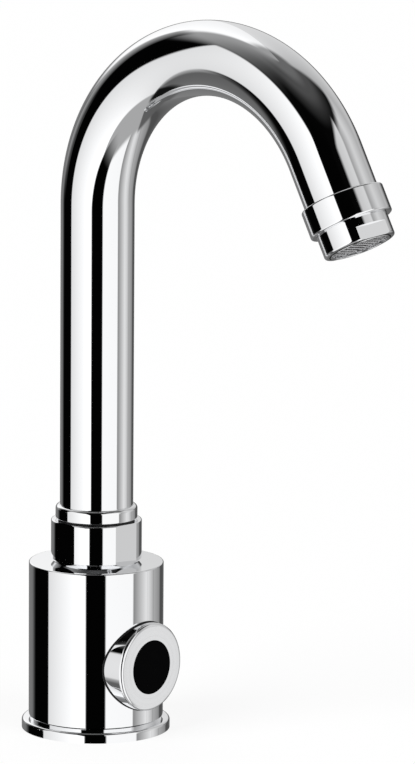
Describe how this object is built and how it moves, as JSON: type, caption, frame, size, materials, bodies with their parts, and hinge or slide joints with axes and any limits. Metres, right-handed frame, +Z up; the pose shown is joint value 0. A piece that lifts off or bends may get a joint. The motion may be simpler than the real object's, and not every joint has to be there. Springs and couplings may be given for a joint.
{
  "type": "sensor tap",
  "caption": "Touchless chrome basin tap: round body with infrared sensor eye, round union with four wrench flats, swivelling swan-neck spout with aerator, solenoid valve inside.",
  "frame": {"origin": "centre of the foot on the deck, on the body's axis, where the fixing stud's hole opens", "axes": "+Z up along the body and the straight leg of the spout; the spout and the sensor face -Y at rest; +X to the right of someone standing behind the tap"},
  "size_m": [0.0506, 0.1505, 0.2459],
  "materials": {
    "chrome": "polished chrome plate",
    "brass": "turned brass",
    "steel": "plain stainless steel",
    "copper": "drawn copper",
    "winding": "enamelled copper wire",
    "rubber": "black sealing rubber",
    "black_plastic": "moulded black plastic",
    "white_plastic": "moulded light plastic",
    "window": "dark infrared window, polished",
    "diode": "tinted epoxy",
    "circuit_board": "lacquered board"
  },
  "bodies": {
    "tap_body": {"base_flange": "chrome", "deck_gasket": "rubber", "body_shell": "chrome", "base_plate": "brass", "plate_screws": "steel", "inlet_fitting": "brass", "inlet_filter": "steel", "riser_pipe": "copper", "lead_grommet": "rubber", "valve_block": "brass", "diaphragm": "rubber", "valve_cover": "black_plastic", "cover_screws": "steel", "armature_tube": "steel", "plunger_spring": "steel", "coil_bobbin": "black_plastic", "coil_winding": "winding", "coil_yoke": "steel", "coil_clip": "steel", "sensor_bezel": "chrome", "bezel_seal": "rubber", "sensor_window": "window", "window_seal": "rubber", "sensor_housing": "black_plastic", "emitter_diode": "diode", "receiver_diode": "diode", "sensor_board": "circuit_board", "board_parts": "black_plastic", "sensor_cap": "black_plastic", "clamp_nut": "brass", "spout_union": "chrome", "stop_screw": "steel", "glide_washer": "black_plastic"},
    "spout": {"spout_ferrule": "brass", "ferrule_o_rings": "rubber", "base_ring": "chrome", "spout_tube": "chrome", "nose_collar": "chrome", "aerator_casing": "chrome", "aerator_seal": "rubber", "aerator_insert": "white_plastic", "outlet_screen": "steel"},
    "valve_plunger": {"plunger": "steel", "pilot_seal": "rubber"}
  },
  "joints": [
    {"name": "spout_swivel", "type": "hinge", "parent": "tap_body", "child": "spout", "pos_m": [0, 0, 0.0723], "axis": [0, 0, 1], "range_deg": [-60, 60]},
    {"name": "plunger_slide", "type": "slide", "parent": "tap_body", "child": "valve_plunger", "axis": [0, 0, -1], "range_m": [0, 0.001], "stiffness_N_per_m": 300, "springref_m": -0.004, "deforming": ["plunger_spring"]}
  ]
}
